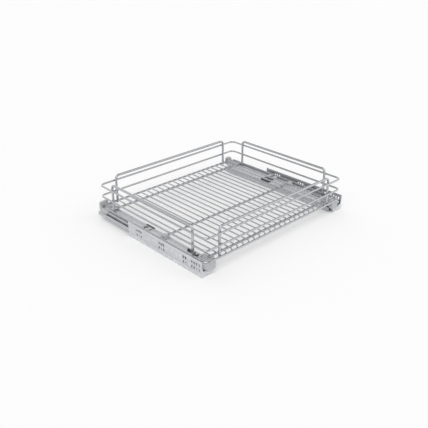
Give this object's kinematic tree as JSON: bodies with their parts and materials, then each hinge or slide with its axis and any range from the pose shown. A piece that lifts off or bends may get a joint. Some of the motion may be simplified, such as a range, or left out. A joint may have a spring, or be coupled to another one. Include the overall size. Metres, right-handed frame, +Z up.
{
  "type": "pull-out basket",
  "caption": "Wire basket with raised guard loops on a pair of telescopic under-mounted runners with soft-close dampers, for pulling out of a kitchen cabinet.",
  "frame": {"origin": "middle of the width and depth of the closed basket, at the underside of the mounting brackets", "axes": "+X to the right along the width, -Y out of the cabinet in the direction the basket is pulled, +Z up"},
  "size_m": [0.564, 0.4544, 0.121],
  "materials": {
    "chrome_wire": "polished chrome plating",
    "bracket_steel": "zinc plated sheet, satin",
    "profile_steel": "zinc plated rolled sheet, satin",
    "fastener_steel": "bright zinc",
    "cup_plastic": "fine texture, light grey",
    "latch_plastic": "fine texture, dark grey",
    "wheel_plastic": "smooth, dark grey",
    "roller_plastic": "smooth natural white acetal"
  },
  "bodies": {
    "cabinet_side": {"left_mounting_bracket": "bracket_steel", "left_cabinet_profile": "profile_steel", "left_bracket_rivets": "fastener_steel", "left_damper_housing": "latch_plastic", "left_damper_cylinder": "fastener_steel", "right_mounting_bracket": "bracket_steel", "right_cabinet_profile": "profile_steel", "right_bracket_rivets": "fastener_steel", "right_damper_housing": "latch_plastic", "right_damper_cylinder": "fastener_steel"},
    "basket": {"bottom_frame_wire": "chrome_wire", "floor_wires": "chrome_wire", "front_cross_wire": "chrome_wire", "middle_cross_wire": "chrome_wire", "rear_cross_wire": "chrome_wire", "lower_rail": "chrome_wire", "upper_rail": "chrome_wire", "left_guard_loop": "chrome_wire", "right_guard_loop": "chrome_wire", "front_guard_loop": "chrome_wire", "rear_guard_loop": "chrome_wire", "left_drawer_profile": "bracket_steel", "left_front_cup": "cup_plastic", "left_rear_cup": "cup_plastic", "left_cup_screws": "fastener_steel", "left_wire_clip": "cup_plastic", "left_lever_pin": "fastener_steel", "left_adjuster_housing": "cup_plastic", "left_adjuster_bar": "latch_plastic", "left_closing_catch": "latch_plastic", "right_drawer_profile": "bracket_steel", "right_front_cup": "cup_plastic", "right_rear_cup": "cup_plastic", "right_cup_screws": "fastener_steel", "right_wire_clip": "cup_plastic", "right_lever_pin": "fastener_steel", "right_adjuster_housing": "cup_plastic", "right_adjuster_bar": "latch_plastic", "right_closing_catch": "latch_plastic"},
    "left_middle": {"left_middle_profile": "profile_steel"},
    "left_lower_cage": {"left_lower_roller_cage": "cup_plastic", "left_lower_rollers": "roller_plastic"},
    "left_upper_cage": {"left_upper_roller_cage": "cup_plastic", "left_upper_rollers": "roller_plastic"},
    "left_damper": {"left_damper_slide": "latch_plastic", "left_damper_rod": "fastener_steel"},
    "left_lever": {"left_release_lever": "latch_plastic"},
    "left_wheel": {"left_adjuster_wheel": "wheel_plastic"},
    "right_middle": {"right_middle_profile": "profile_steel"},
    "right_lower_cage": {"right_lower_roller_cage": "cup_plastic", "right_lower_rollers": "roller_plastic"},
    "right_upper_cage": {"right_upper_roller_cage": "cup_plastic", "right_upper_rollers": "roller_plastic"},
    "right_damper": {"right_damper_slide": "latch_plastic", "right_damper_rod": "fastener_steel"},
    "right_lever": {"right_release_lever": "latch_plastic"},
    "right_wheel": {"right_adjuster_wheel": "wheel_plastic"}
  },
  "joints": [
    {"name": "basket_slide", "type": "slide", "parent": "cabinet_side", "child": "basket", "axis": [0, -1, 0], "range_m": [0, 0.43]},
    {"name": "left_middle_slide", "type": "slide", "parent": "cabinet_side", "child": "left_middle", "axis": [0, -1, 0], "range_m": [0, 0.2151]},
    {"name": "left_lower_cage_slide", "type": "slide", "parent": "cabinet_side", "child": "left_lower_cage", "axis": [0, -1, 0], "range_m": [0, 0.1076]},
    {"name": "left_upper_cage_slide", "type": "slide", "parent": "cabinet_side", "child": "left_upper_cage", "axis": [0, -1, 0], "range_m": [0, 0.3226]},
    {"name": "left_damper_travel", "type": "slide", "parent": "cabinet_side", "child": "left_damper", "axis": [0, -1, 0], "range_m": [0, 0.0501]},
    {"name": "right_middle_slide", "type": "slide", "parent": "cabinet_side", "child": "right_middle", "axis": [0, -1, 0], "range_m": [0, 0.2151]},
    {"name": "right_lower_cage_slide", "type": "slide", "parent": "cabinet_side", "child": "right_lower_cage", "axis": [0, -1, 0], "range_m": [0, 0.1076]},
    {"name": "right_upper_cage_slide", "type": "slide", "parent": "cabinet_side", "child": "right_upper_cage", "axis": [0, -1, 0], "range_m": [0, 0.3226]},
    {"name": "right_damper_travel", "type": "slide", "parent": "cabinet_side", "child": "right_damper", "axis": [0, -1, 0], "range_m": [0, 0.0501]},
    {"name": "left_lever_turn", "type": "hinge", "parent": "basket", "child": "left_lever", "pos_m": [-0.251, -0.173, 0.0334], "axis": [0, 0, -1], "range_deg": [0, 14], "stiffness_Nm_per_rad": 0.05},
    {"name": "left_wheel_turn", "type": "hinge", "parent": "basket", "child": "left_wheel", "pos_m": [-0.2555, 0.029, 0.0345], "axis": [0, 0, 1], "continuous": true},
    {"name": "right_lever_turn", "type": "hinge", "parent": "basket", "child": "right_lever", "pos_m": [0.251, -0.173, 0.0334], "axis": [0, 0, 1], "range_deg": [0, 14], "stiffness_Nm_per_rad": 0.05},
    {"name": "right_wheel_turn", "type": "hinge", "parent": "basket", "child": "right_wheel", "pos_m": [0.2555, 0.029, 0.0345], "axis": [0, 0, 1], "continuous": true}
  ],
  "couplings": [
    {"joint": "left_middle_slide", "follows": "basket_slide", "ratio": 0.5},
    {"joint": "left_lower_cage_slide", "follows": "basket_slide", "ratio": 0.25},
    {"joint": "left_upper_cage_slide", "follows": "basket_slide", "ratio": 0.75},
    {"joint": "left_damper_travel", "follows": "basket_slide", "ratio": 0.11627},
    {"joint": "right_middle_slide", "follows": "basket_slide", "ratio": 0.5},
    {"joint": "right_lower_cage_slide", "follows": "basket_slide", "ratio": 0.25},
    {"joint": "right_upper_cage_slide", "follows": "basket_slide", "ratio": 0.75},
    {"joint": "right_damper_travel", "follows": "basket_slide", "ratio": 0.11627}
  ]
}
